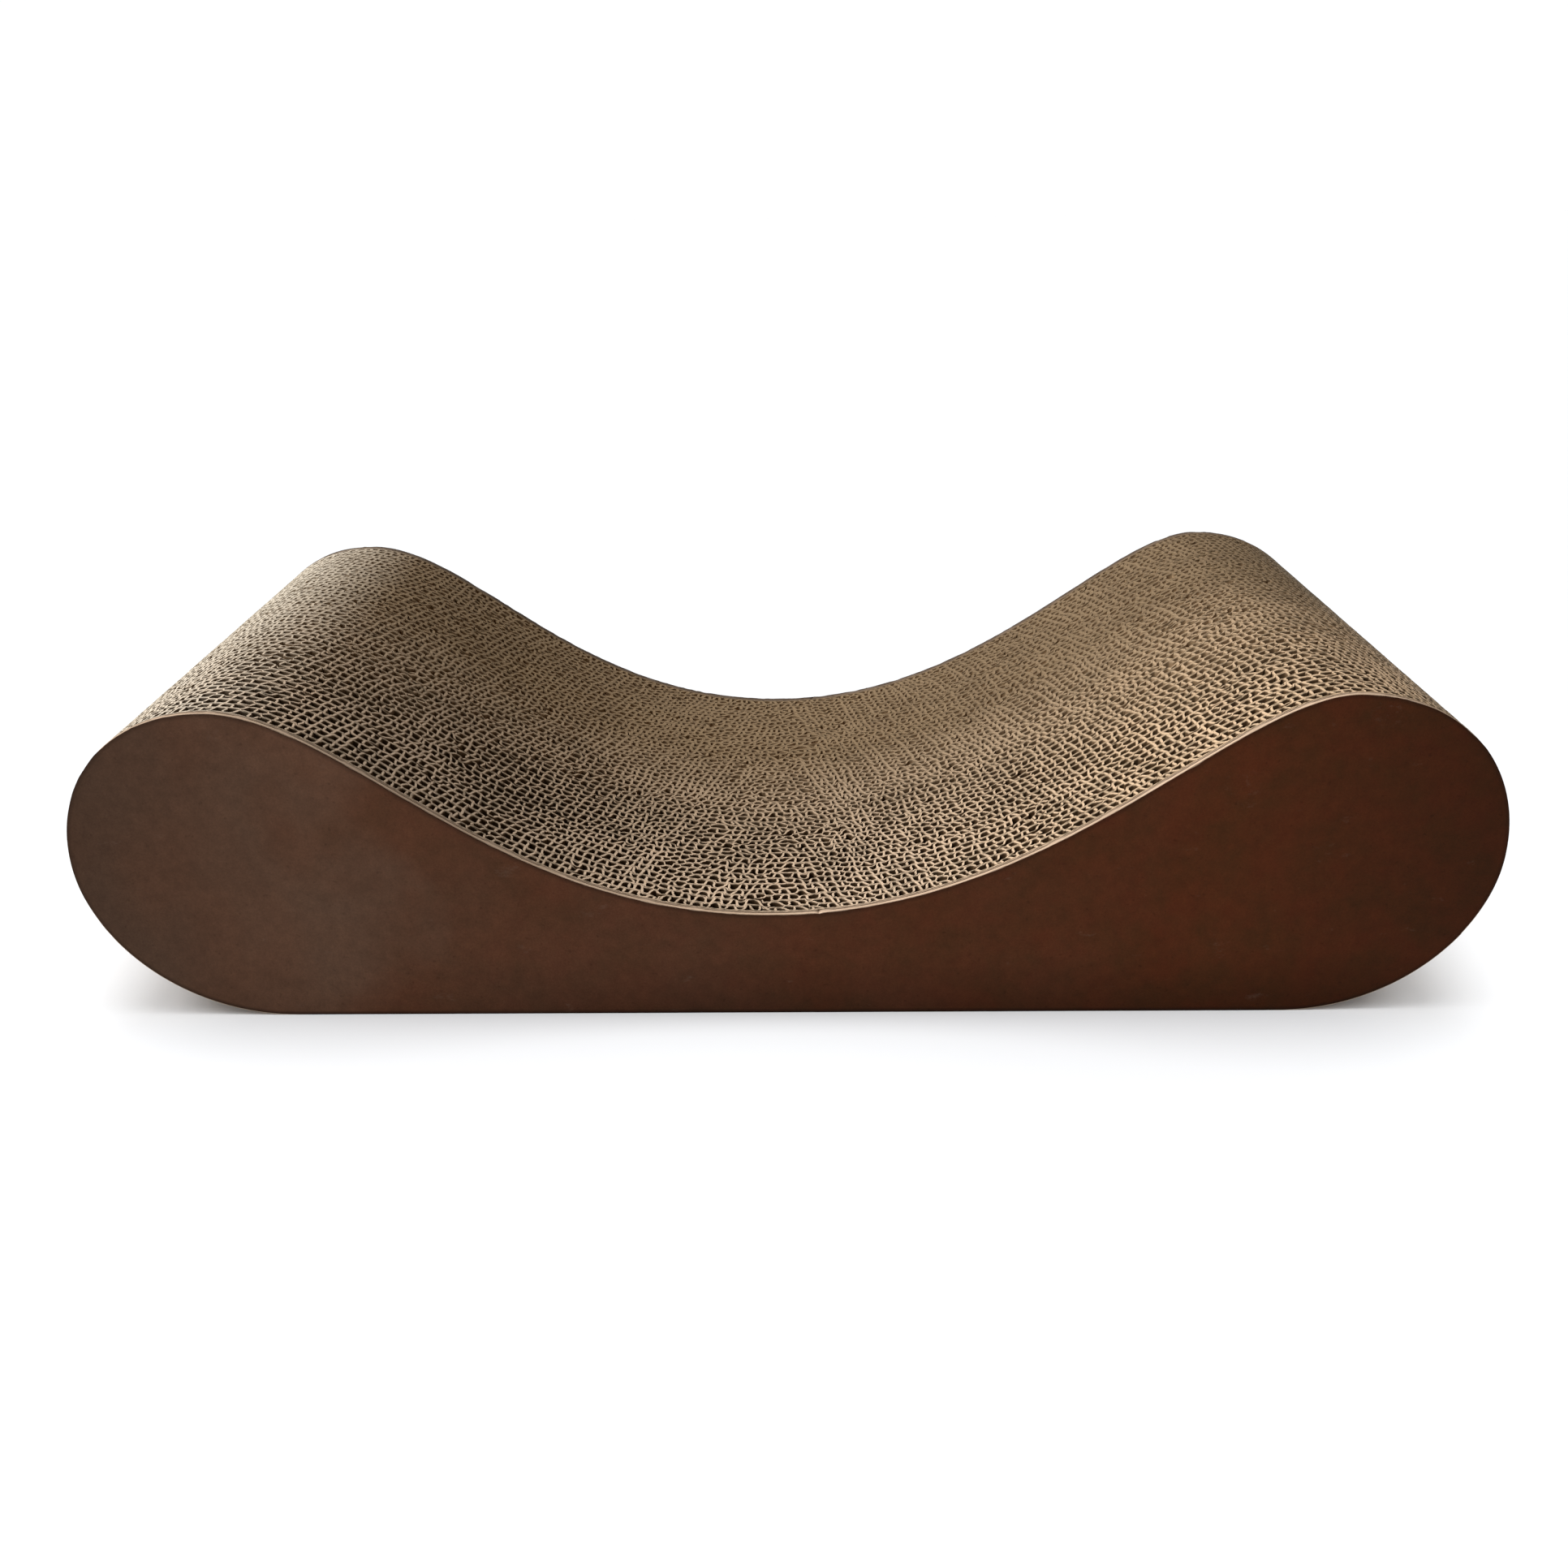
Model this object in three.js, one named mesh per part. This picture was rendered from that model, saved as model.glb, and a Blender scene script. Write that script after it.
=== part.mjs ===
// Cat scratcher sofa: a lounger with a wave-shaped top, laminated from die-cut corrugated
// sheets that stand on edge, one behind the other. A solid board with a brown paper face
// closes the stack at the front and at the rear, and glue holds all of it together.
// Millimetres. +X runs along the sofa, -Y is the front and +Z is up. The origin is on the
// floor, at the middle of the length and of the depth.

import * as THREE from "three";

// Outline of every piece, seen from the front
const LENGTH = 610; // from end to end
const FOOT_INSET = 86; // from each end in to where the curve meets the floor
const WIDEST_HEIGHT = 77; // height of the outermost point of each end
const LEFT_CREST_HEIGHT = 144.5; // top of the left hump
const LEFT_CREST_INSET = 66.5; // from the left end in to the top of the left hump
const RIGHT_CREST_HEIGHT = 149.5; // top of the right hump
const RIGHT_CREST_INSET = 72; // from the right end in to the top of the right hump
const SEAT_HEIGHT = 49.5; // lowest point of the seat
const SEAT_OFFSET = -5.5; // the seat's lowest point, from the middle of the length

// How far each curve of the outline runs on straight before it bends away
const FOOT_SWEEP = 49; // along the floor
const LOWER_SWEEP = 40; // down from the widest point
const LEFT_UPPER_SWEEP = 38; // up from the left end's widest point
const RIGHT_UPPER_SWEEP = 44.5; // up from the right end's widest point
const CREST_OUTER_SWEEP = 39; // over a hump, towards the end
const LEFT_CREST_INNER_SWEEP = 58; // over the left hump, towards the seat
const RIGHT_CREST_INNER_SWEEP = 49.5; // over the right hump, towards the seat
const SEAT_SWEEP = 122; // along the bottom of the seat, to either side

// The stack, from front to rear
const SHEET_COUNT = 51;
const SHEET_CALIPER = 4.75; // one corrugated sheet, liners and flutes together
const GLUE_LINE = 0.3; // between two glued faces
const BOARD_THICKNESS = 3; // solid board behind each paper face
const PAPER_THICKNESS = 0.4; // brown face paper

// Straight steps that stand for one curve of the outline
const END_STEPS = 7;
const SEAT_STEPS = 11;

// Colours
const KRAFT = 0xa98f6f;
const BOARD = 0xb59d7e;
const BROWN = 0x452b1f;

const point = (x, z) => new THREE.Vector2(x, z);

// The three curves of one half of the outline, from the floor over the end and the hump to
// the seat. The side is 1 for the right half and -1 for the left half.
function halfOutline(side, crestInset, crestHeight, upperSweep, crestInnerSweep) {
  const end = LENGTH / 2;
  const foot = end - FOOT_INSET;
  const crest = end - crestInset;
  const seat = side * SEAT_OFFSET;
  const at = (x, z) => point(side * x, z);
  const lowerEnd = new THREE.CubicBezierCurve(
    at(foot, 0),
    at(foot + FOOT_SWEEP, 0),
    at(end, WIDEST_HEIGHT - LOWER_SWEEP),
    at(end, WIDEST_HEIGHT),
  );
  const upperEnd = new THREE.CubicBezierCurve(
    at(end, WIDEST_HEIGHT),
    at(end, WIDEST_HEIGHT + upperSweep),
    at(crest + CREST_OUTER_SWEEP, crestHeight),
    at(crest, crestHeight),
  );
  const flank = new THREE.CubicBezierCurve(
    at(crest, crestHeight),
    at(crest - crestInnerSweep, crestHeight),
    at(seat + SEAT_SWEEP, SEAT_HEIGHT),
    at(seat, SEAT_HEIGHT),
  );
  return [
    ...lowerEnd.getPoints(END_STEPS),
    ...upperEnd.getPoints(END_STEPS).slice(1),
    ...flank.getPoints(SEAT_STEPS).slice(1),
  ];
}

// The closed outline that every sheet, board and paper is cut to.
function waveOutline() {
  const right = halfOutline(
    1,
    RIGHT_CREST_INSET,
    RIGHT_CREST_HEIGHT,
    RIGHT_UPPER_SWEEP,
    RIGHT_CREST_INNER_SWEEP,
  );
  const left = halfOutline(
    -1,
    LEFT_CREST_INSET,
    LEFT_CREST_HEIGHT,
    LEFT_UPPER_SWEEP,
    LEFT_CREST_INNER_SWEEP,
  );
  // Both halves end at the seat's lowest point, which the left one leaves out.
  return new THREE.Shape([...right, ...left.slice(0, -1).reverse()]);
}

const outline = waveOutline();
const sheetMaterial = new THREE.MeshStandardMaterial({ color: KRAFT, roughness: 0.95, metalness: 0 });
const boardMaterial = new THREE.MeshStandardMaterial({ color: BOARD, roughness: 0.9, metalness: 0 });
const paperMaterial = new THREE.MeshStandardMaterial({ color: BROWN, roughness: 0.6, metalness: 0 });

const sofa = new THREE.Group();
let rearOfLast = 0; // how far the stack has grown from its front face

// Stands one cut piece behind the last one, with a glue line between them.
function stack(name, thickness, material) {
  const isFirst = sofa.children.length === 0;
  const front = isFirst ? 0 : rearOfLast + GLUE_LINE;
  const geometry = new THREE.ExtrudeGeometry(outline, { depth: thickness, bevelEnabled: false });
  const piece = new THREE.Mesh(geometry, material);
  piece.name = name;
  piece.rotation.x = Math.PI / 2; // the outline's height turns up, and its thickness to the front
  rearOfLast = front + thickness;
  piece.position.y = rearOfLast;
  sofa.add(piece);
}

stack("front_face_paper", PAPER_THICKNESS, paperMaterial);
stack("front_panel_board", BOARD_THICKNESS, boardMaterial);
for (let i = 1; i <= SHEET_COUNT; i += 1) {
  stack(`scratch_sheet_${String(i).padStart(2, "0")}`, SHEET_CALIPER, sheetMaterial);
}
stack("rear_panel_board", BOARD_THICKNESS, boardMaterial);
stack("rear_face_paper", PAPER_THICKNESS, paperMaterial);

// The depth is the whole stack, and the origin is at its middle.
sofa.position.y = -rearOfLast / 2;

export default sofa;
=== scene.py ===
# Cat scratcher sofa: the looks of a wave-shaped lounger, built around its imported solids.
# Every corrugated sheet is made as it really is, two liners with a fluted paper between them,
# all cut to the wave outline, so the scratching surface shows its open cells from any side.
# Metres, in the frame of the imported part: +X along the sofa, -Y to the front, +Z up.

import math

import bpy
import numpy as np
from mathutils import Matrix, Vector


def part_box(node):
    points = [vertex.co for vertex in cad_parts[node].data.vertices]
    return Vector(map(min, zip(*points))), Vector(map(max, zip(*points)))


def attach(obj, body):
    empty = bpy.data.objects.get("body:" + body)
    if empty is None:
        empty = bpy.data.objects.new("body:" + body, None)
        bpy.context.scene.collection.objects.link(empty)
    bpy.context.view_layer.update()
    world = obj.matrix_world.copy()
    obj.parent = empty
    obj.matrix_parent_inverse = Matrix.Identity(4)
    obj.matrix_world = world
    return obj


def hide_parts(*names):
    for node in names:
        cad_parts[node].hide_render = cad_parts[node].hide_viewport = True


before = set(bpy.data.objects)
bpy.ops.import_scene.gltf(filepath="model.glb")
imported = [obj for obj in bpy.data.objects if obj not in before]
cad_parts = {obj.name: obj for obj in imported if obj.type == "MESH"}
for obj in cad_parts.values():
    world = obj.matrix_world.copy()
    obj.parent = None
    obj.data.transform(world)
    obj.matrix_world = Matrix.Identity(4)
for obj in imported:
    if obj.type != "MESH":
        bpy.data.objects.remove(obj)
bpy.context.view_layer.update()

MM = 0.001
SEED = 20

# Outline of every sheet, board and paper, seen from the front
LENGTH = 610 * MM
FOOT_INSET = 86 * MM
WIDEST_HEIGHT = 77 * MM
LEFT_CREST_HEIGHT = 144.5 * MM
LEFT_CREST_INSET = 66.5 * MM
RIGHT_CREST_HEIGHT = 149.5 * MM
RIGHT_CREST_INSET = 72 * MM
SEAT_HEIGHT = 49.5 * MM
SEAT_OFFSET = -5.5 * MM
FOOT_SWEEP = 49 * MM
LOWER_SWEEP = 40 * MM
LEFT_UPPER_SWEEP = 38 * MM
RIGHT_UPPER_SWEEP = 44.5 * MM
CREST_OUTER_SWEEP = 39 * MM
LEFT_CREST_INNER_SWEEP = 58 * MM
RIGHT_CREST_INNER_SWEEP = 49.5 * MM
SEAT_SWEEP = 122 * MM
CURVE_STEPS = 160
END_TRIM = 0.005 * MM  # the last station stops this far short of each end, where the height is nil
REACH = LENGTH / 2 - END_TRIM

# Corrugated board
SHEET_COUNT = 51
THICKNESS_AT = (-120 * MM, -65 * MM, 45 * MM, 120 * MM)  # places along X for the thicknesses below
LINER_THICKNESS = (0.42 * MM, 0.5 * MM, 0.43 * MM, 0.5 * MM)
WALL_THICKNESS = (0.76 * MM, 0.97 * MM, 0.85 * MM, 0.82 * MM)  # of the fluted paper across a sheet
CREST_THICKNESS = 0.42 * MM  # of the fluted paper along a liner
CREST_AT = 0.15  # share of a sheet's depth from its glue line to a crest
LEAST_CREST = 1.5 * MM  # from one wall to the next
WALL_RISE = 2  # how soon a crest counts as a wall
FLUTE_SINK = 0.03 * MM  # how deep a flute's crest is pressed into its liner
FLUTE_REACH = LENGTH / 2 - 2 * max(WALL_THICKNESS)  # no wall stands further out
CORNER_PASSES = 2  # how often the corners of a flute are cut to round them
LINER_GAP = 0.02 * MM  # glue between the liners of two neighbouring sheets
LINER_STATION = 3 * MM  # longest step along the mesh of a liner
WALL_PITCH = 3.85 * MM  # from one flute wall to the next, half a flute, along the slope of the top
SEAT_PITCH = 3.4 * MM  # the same in the middle of the seat
SEAT_PITCH_UNTIL = (40 * MM, 130 * MM)  # where the pitch begins and ends to widen
LEAST_PITCH = 0.66  # share of the pitch that is kept where the top is steep
WALL_SLANT = 0.34  # share of a pitch by which a wall comes nearer to the middle over one sheet
SPARE_WALLS = 20  # walls beyond each end, which come in further back
FLIP_SHARE = 0.2  # of the sheets whose flutes swing the other way
MIDDLE_SPREAD = 15 * MM  # how ragged the line is where the walls of both halves meet

# Pairs of values, in the middle of the seat and on the slopes
SEAT_UNTIL = (40 * MM, 120 * MM)  # how far from the middle the first turns into the second
CORNER_SHARE = (0.25, 0.16)  # of each straight run of a flute, cut off to round its corners
COLUMN_STEP = (1.15 * MM, 0.9 * MM)  # how far a column of cells may lie off
WALL_JITTER = (0.42 * MM, 0.4 * MM)  # sideways, of a single wall
WALL_LEAN = (0.4 * MM, 0.25 * MM)

# How uneven the board is
SPARE_KNOTS = 4  # of a random line, beyond both ends together
ROW_WANDER = 0.45 * MM  # slow bend of the glue line between two sheets
ROW_WANDER_KNOT = 45 * MM
ROW_WANDER_KEEP = 0.85  # share that the next glue line takes over
COLUMN_TURN = 0.2  # how fast a column's place changes from sheet to sheet, in radians
ROW_STEP = 0.3 * MM  # step of a single glue line from one cell to the next
ROW_JOG = 0.3 * MM  # half the length of such a step, at the wall between the cells
LEAST_STATION = ROW_JOG / 3  # stations of a liner that come closer are dropped
CELL_SIDE = 1 * MM  # from a wall to where a cell is clear of the step
WALL_DRIFT = 1.8 * MM  # slow sideways drift of a line of walls from row to row
WALL_DRIFT_KNOT = 32 * MM
WALL_DRIFT_KEEP = 0.95
ROW_SLIP = 0.18 * MM  # sideways slip of a whole row
ROW_SLIP_LARGE = 1.2 * MM
LARGE_SLIP_SHARE = 0.15
ROW_SLIP_KNOT = 40 * MM
WALL_BOW = 0.25 * MM
THICKNESS_SPREAD = 0.12
MOST_THICKNESS_SPREAD = 0.3
RAGGED = 0.12 * MM  # unevenness of a cut edge
MOST_RAGGED = 0.4 * MM
FRAYED = 0.07 * MM  # sideways fray of a cut edge
TORN_SHARE = 0.06  # of the places along a glue line where the liners are torn down
TORN_DEPTH = (0.5 * MM, 1.6 * MM)
TORN_KNOT = 3.9 * MM
SHEET_DROP = 0.12 * MM  # how much lower a sheet may lie than its neighbours

# How worn the board is, and where shade and sheen are painted on it
CUT_FADE = 0.6 * MM  # how deep the pale colour of a cut edge goes down the paper, above the painted shade of the cells
CUT_FADE_REAR = 2.4 * MM  # the same at the dustier rear
TIP_FADES = 3  # a strip that is lower than this many fades begins to be pale all over
REAR_FROM = 0.2  # share of the depth where the rear begins to differ
REAR_UNTIL = 0.8
REAR_LINER = 0.6  # share by which a liner swells at the rear
REAR_FLUTE = 0.6
SHEEN_SWELL = 0.5  # how far the paper swells where the pale sheen is painted, against the rear
SWELL_UNTIL = (286 * MM, 300 * MM)  # where the paper stops to swell, on the steep ends
SWELL_LEFT = 0.2
SHEEN_LEFT = (208 * MM, 268 * MM)  # how far to the left the painted sheen of the hump sets in
SHEEN_RIGHT = (262 * MM, 296 * MM)
SHEEN_RIGHT_SHARE = 0.45
WORN_INSIDE = 235 * MM  # all of the top is worn this far from the middle
WORN_HEIGHTS = (95 * MM, 125 * MM)  # and beyond that, the ends only high up
LINER_TINT = 0.4  # between dark paper (0) and pale paper (1)
CREST_TINT = 0.45
WALL_TINT = 0.95
WALL_TINT_REACH = 1.2 * ROW_JOG  # how far from a wall the liners are as pale
TINT_SPREAD = 0.1

# Meshes of the strips of paper, and their places in the bake map
SHARP_ANGLE = math.radians(50)
RING = 8  # corners of a strip's cross-section: four up one face and four down the other
CUT_AT_CORNER = np.array([1, 0, 0, 1, 1, 0, 0, 1], float)
END_QUADS = RING // 2 - 1  # over each end of a strip
RING_SHARES = np.array([1, 2, 3, 2, 3, 2, 1, 1], float)  # room for each side of the ring
FLUTE_ROWS = 3  # rows that a flute is unrolled into, between those of the two liners
MAP_ROWS = FLUTE_ROWS + 2
MAP_MARGIN = 0.006
MAP_ENDS = 0.015  # room for a strip's two ends, at the right
END_SIDES = (0.1, 0.5)  # shares of that room where a quad begins and stops
END_FILL = 0.75  # share of its height that a quad fills

# Boards and face papers
PLATE_STATION = 0.9 * MM  # step along the outline
RIM_TURNS = (0, 30, 60, 90)  # degrees round a rounded rim
PAPER_ROUNDING = 0.12 * MM
PAPER_BAND = 0.7 * MM  # dark band along the edge of the paper, painted contact shadow where it meets the floor
PAPER_BAND_SHADE = 0.75  # how dark it is at its inner side
PAPER_BAND_END = 3 * PAPER_BAND  # where it has died out
PAPER_ROWS = 10  # of quads over the face
PAPER_UNEVEN = 0.16 * MM  # how far the paper's edge falls short of the board
PAPER_UNEVEN_KNOT = 5 * MM
PAPER_UNEVEN_ABOVE = WIDEST_HEIGHT / 2
PAPER_WAVE = 0.05 * MM  # how far the face waves
PAPER_WAVE_X = 37 * MM  # length of the wave per radian
PAPER_WAVE_Z = 29 * MM
PAPER_WAVE_PHASE = 1
BOARD_ROWS = 2
BOARD_ROUNDING = 0.15 * MM
BOARD_RIDGE = 0.05 * MM
BOARD_ROUGH = 0.04 * MM
GROOVE_DEPTH = 1.1 * MM
GROOVE_DASH = 7 * MM
GROOVE_MEAN = 0.4  # share of its depth that the broken groove has on average
GROOVE_SPREAD = 0.5
NICK_X = 14.4 * MM
NICK_WIDTH = 0.8 * MM
NICK_DEPTH = 0.7 * MM


# Outline


def bezier(start, leave, arrive, end):
    """Points of a cubic curve from start to end, which heads for leave and comes from arrive."""
    t = np.linspace(0, 1, CURVE_STEPS + 1)[:, None]
    s = 1 - t
    places = [np.array(p) for p in (start, leave, arrive, end)]
    return s**3 * places[0] + 3 * s**2 * t * places[1] + 3 * s * t**2 * places[2] + t**3 * places[3]


def half_outline(side, crest_inset, crest_height, upper_sweep, crest_inner_sweep):
    """Lower and upper edge of one half of the outline, both from the end to the middle."""
    end = LENGTH / 2
    foot = end - FOOT_INSET
    crest = end - crest_inset
    seat = side * SEAT_OFFSET
    lower = bezier(
        (end, WIDEST_HEIGHT),
        (end, WIDEST_HEIGHT - LOWER_SWEEP),
        (foot + FOOT_SWEEP, 0),
        (foot, 0),
    )
    upper = bezier(
        (end, WIDEST_HEIGHT),
        (end, WIDEST_HEIGHT + upper_sweep),
        (crest + CREST_OUTER_SWEEP, crest_height),
        (crest, crest_height),
    )
    flank = bezier(
        (crest, crest_height),
        (crest - crest_inner_sweep, crest_height),
        (seat + SEAT_SWEEP, SEAT_HEIGHT),
        (seat, SEAT_HEIGHT),
    )
    turn = np.array((side, 1))
    return lower * turn, np.vstack([upper, flank[1:]]) * turn


left_lower, left_upper = half_outline(
    -1, LEFT_CREST_INSET, LEFT_CREST_HEIGHT, LEFT_UPPER_SWEEP, LEFT_CREST_INNER_SWEEP
)
right_lower, right_upper = half_outline(
    1, RIGHT_CREST_INSET, RIGHT_CREST_HEIGHT, RIGHT_UPPER_SWEEP, RIGHT_CREST_INNER_SWEEP
)
upper_edge = np.vstack([left_upper, right_upper[-2::-1]])
lower_edge = np.vstack([left_lower, right_lower[::-1]])


def top_at(x):
    return np.interp(x, upper_edge[:, 0], upper_edge[:, 1])


def bottom_at(x):
    return np.interp(x, lower_edge[:, 0], lower_edge[:, 1])


def stations(spacing):
    """Places along X, evenly spaced along the upper edge of the outline."""
    run = np.concatenate([[0], np.cumsum(np.hypot(*np.diff(upper_edge, axis=0).T))])
    x = np.interp(np.linspace(0, run[-1], round(run[-1] / spacing)), run, upper_edge[:, 0])
    return np.clip(x, -REACH, REACH)


# Uneven fields over the stack

rng = np.random.default_rng(SEED)


def knot_count(pitch):
    return int(LENGTH / pitch) + SPARE_KNOTS


def row_field(rows, pitch, spread, keep=0.0):
    """Random knots along X for each row, of which the next row keeps a share."""
    field = rng.normal(0, spread, (rows, knot_count(pitch)))
    fresh = math.sqrt(1 - keep**2)
    for row in range(1, rows):
        field[row] = keep * field[row - 1] + fresh * field[row]
    return field


def smooth(share):
    """A share from 0 to 1 that sets out and arrives gently."""
    return share * share * (3 - 2 * share)


def along(knots, pitch, x):
    """A row's knots at the places x, joined smoothly."""
    place = (x + LENGTH / 2) / pitch + 1
    before = np.clip(np.floor(place).astype(int), 0, len(knots) - 2)
    part = smooth(np.clip(place - before, 0, 1))
    return knots[before] * (1 - part) + knots[before + 1] * part


sheet_names = [f"scratch_sheet_{i:02d}" for i in range(1, SHEET_COUNT + 1)]
sheet_boxes = [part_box(name) for name in sheet_names]
row_base = [sheet_boxes[0][0].y]
row_base += [(a[1].y + b[0].y) / 2 for a, b in zip(sheet_boxes[:-1], sheet_boxes[1:])]
row_base += [sheet_boxes[-1][1].y]
row_wander = row_field(SHEET_COUNT + 1, ROW_WANDER_KNOT, ROW_WANDER, ROW_WANDER_KEEP)
wall_drift = row_field(SHEET_COUNT + 1, WALL_DRIFT_KNOT, WALL_DRIFT, WALL_DRIFT_KEEP)
row_slip = row_field(SHEET_COUNT, ROW_SLIP_KNOT, 1.0)
torn_shape = (SHEET_COUNT + 1, knot_count(TORN_KNOT))
row_torn = np.where(rng.random(torn_shape) < TORN_SHARE, rng.uniform(*TORN_DEPTH, torn_shape), 0)


# What changes along the top


def in_seat(x, values):
    """The first of two values in the middle of the seat, which turns into the second on the slopes."""
    return np.interp(np.abs(x), SEAT_UNTIL, values)


def bleach(x):
    """How far a pale sheen is painted on the paper, which also swells there: all over the left hump, less
    at the right end.
    """
    left = np.interp(-x, SHEEN_LEFT, (0, 1))
    right = np.interp(x, SHEEN_RIGHT, (0, SHEEN_RIGHT_SHARE))
    return left + right


def wear(corners):
    """How worn the paper is at its corners: fully on the top, and not at all on the steep ends."""
    high_up = np.interp(corners[:, 2], WORN_HEIGHTS, (0, 1))
    return np.where(np.abs(corners[:, 0]) < WORN_INSIDE, 1, high_up)


def swelling(x, age):
    """How far worn paper has swollen: at the rear and on the humps with the painted sheen, less on the
    steep ends.
    """
    return (age + SHEEN_SWELL * bleach(x)) * np.interp(np.abs(x), SWELL_UNTIL, (1, SWELL_LEFT))


def liner_thickness(x, age):
    return np.interp(x, THICKNESS_AT, LINER_THICKNESS) * (1 + REAR_LINER * swelling(x, age))


def flute_thickness(x, on_wall, age):
    """Thickness of a fluted paper, whose walls the cut has frayed wider than its crests."""
    wall = np.interp(x, THICKNESS_AT, WALL_THICKNESS)
    fresh = CREST_THICKNESS + (wall - CREST_THICKNESS) * on_wall
    return fresh * (1 + REAR_FLUTE * swelling(x, age))


# Walls of the flutes, pitched along the slope of the top

step_x, step_z = np.diff(upper_edge, axis=0).T
level_share = (step_x / np.hypot(step_x, step_z)).clip(LEAST_PITCH, 1)
pitch_at = np.interp(np.abs(upper_edge[1:, 0]), SEAT_PITCH_UNTIL, (SEAT_PITCH, WALL_PITCH))
walls_before = np.concatenate([[0], np.cumsum(step_x / (pitch_at * level_share))])
wall_count = int(walls_before[-1])
walls_before = np.concatenate([[-SPARE_WALLS], walls_before, [walls_before[-1] + SPARE_WALLS]])
spare_reach = LENGTH / 2 + SPARE_WALLS * WALL_PITCH
walls_until = np.concatenate([[-spare_reach], upper_edge[:, 0], [spare_reach]])


def wall_family(slant):
    """Places of a family of walls along every glue line, moved on by that share of a pitch per sheet."""
    number = np.arange(-SPARE_WALLS, wall_count + SPARE_WALLS) + 0.5
    places = []
    for row in range(SHEET_COUNT + 1):
        x = np.interp(number + slant * row, walls_before, walls_until)
        drift = along(wall_drift[row], WALL_DRIFT_KNOT, x)
        places.append(x + drift + rng.normal(0, in_seat(x, WALL_JITTER)))
    return np.stack(places)


def column_family():
    """A function that gives the phase of every column of cells, left of each wall, at a glue line."""
    count = wall_count + 2 * SPARE_WALLS + 1
    start = rng.uniform(0, 2 * math.pi, count)
    turn = rng.normal(0, COLUMN_TURN, count)
    return lambda row: start + turn * row


left_walls = wall_family(WALL_SLANT)
right_walls = wall_family(-WALL_SLANT)
left_columns = column_family()
right_columns = column_family()


def apart(x):
    """The same places, moved on where two would come closer than the least crest."""
    steps = LEAST_CREST * np.arange(len(x))
    return np.maximum.accumulate(x - steps) + steps


def sheet_walls(sheet):
    """Front and rear places of the walls of a sheet, and which of them run to the rear. The walls
    of both halves slant towards the middle, and each goes on in the next sheet."""
    middle = rng.normal(SEAT_OFFSET, MIDDLE_SPREAD)
    left = left_walls[sheet:sheet + 2]
    right = right_walls[sheet:sheet + 2]
    in_left = np.flatnonzero(left.mean(0) < middle)
    in_right = np.flatnonzero(right.mean(0) > middle)
    front, rear = np.hstack([left[:, in_left], right[:, in_right]])
    runs_back = (np.concatenate([in_left, in_right]) + (rng.random() < FLIP_SHARE)) % 2 == 0
    joint = len(in_left)
    if runs_back[joint] == runs_back[joint - 1]:
        # Two neighbours that run the same way: one more goes between them, or one goes away
        if rear[joint] - rear[joint - 1] > SEAT_PITCH:
            front = np.insert(front, joint, front[joint - 1:joint + 1].mean())
            rear = np.insert(rear, joint, rear[joint - 1:joint + 1].mean())
            runs_back = np.insert(runs_back, joint, ~runs_back[joint])
        else:
            front, rear, runs_back = (np.delete(each, joint) for each in (front, rear, runs_back))
    return front, rear, runs_back


# Glue lines between the sheets, counted from the front board


def glue_steps(row):
    """Places of the walls at a glue line, and its offset in every cell between and beside them."""
    in_left = np.flatnonzero(left_walls[row] < SEAT_OFFSET)
    in_right = np.flatnonzero(right_walls[row] > SEAT_OFFSET)
    walls = apart(np.concatenate([left_walls[row, in_left], right_walls[row, in_right]]))
    left_phase = left_columns(row)[in_left]
    right_phase = right_columns(row)[in_right[0]:in_right[-1] + 2]
    phase = np.concatenate([left_phase, right_phase])
    step = in_seat(np.append(walls, walls[-1]), COLUMN_STEP)
    return walls, step * np.sin(phase) + rng.normal(0, ROW_STEP, len(phase))


row_steps = [glue_steps(row) for row in range(SHEET_COUNT + 1)]


def glue_line(row, x):
    """Y of a glue line at the places x. It runs straight past a cell and steps at each wall, and
    it is all straight along a board."""
    walls, offset = row_steps[row]
    places = np.stack([walls - ROW_JOG, walls + ROW_JOG], 1).ravel()
    step = np.interp(x, places, np.repeat(offset, 2)[1:-1])
    uneven = along(row_wander[row], ROW_WANDER_KNOT, x) + step
    return row_base[row] + uneven * (0 < row < SHEET_COUNT)


def liner_stations(row):
    """Places along X for the liners at a glue line: before and after each wall, and amid each cell."""
    walls = row_steps[row][0]
    own = np.concatenate([walls - ROW_JOG, walls + ROW_JOG, (walls[:-1] + walls[1:]) / 2])
    x = np.sort(np.concatenate([stations(LINER_STATION), own[np.abs(own) < REACH - ROW_JOG]]))
    return x[np.concatenate([[True], np.diff(x) > LEAST_STATION])]


def liner_tint(row, x):
    """Tint of the liners at a glue line, which are as pale as a wall where a wall meets them."""
    nearest = np.abs(x[:, None] - row_steps[row][0][None, :]).min(1)
    return np.interp(nearest, (WALL_TINT_REACH, CELL_SIDE), (WALL_TINT, LINER_TINT))


def liner(row, side, age, drop):
    """Plan, thickness, tint and drop of a liner, behind the glue line (1) or in front of it (-1)."""
    x = liner_stations(row)
    thickness = liner_thickness(x, age)
    y = glue_line(row, x) + side * (LINER_GAP + thickness) / 2
    torn = along(row_torn[row], TORN_KNOT, x) * (0 < row < SHEET_COUNT)
    return np.stack([x, y], 1), thickness, liner_tint(row, x), drop + torn


# Fluted papers


def round_corners(points):
    """Cuts the corners of a line of points, each pass rounder than the one before."""
    for _ in range(CORNER_PASSES):
        step = in_seat(points[:-1, :1], CORNER_SHARE) * np.diff(points, axis=0)
        cut = np.stack([points[:-1] + step, points[1:] - step], 1).reshape(-1, points.shape[1])
        points = np.vstack([points[:1], cut, points[-1:]])
    return points


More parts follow.
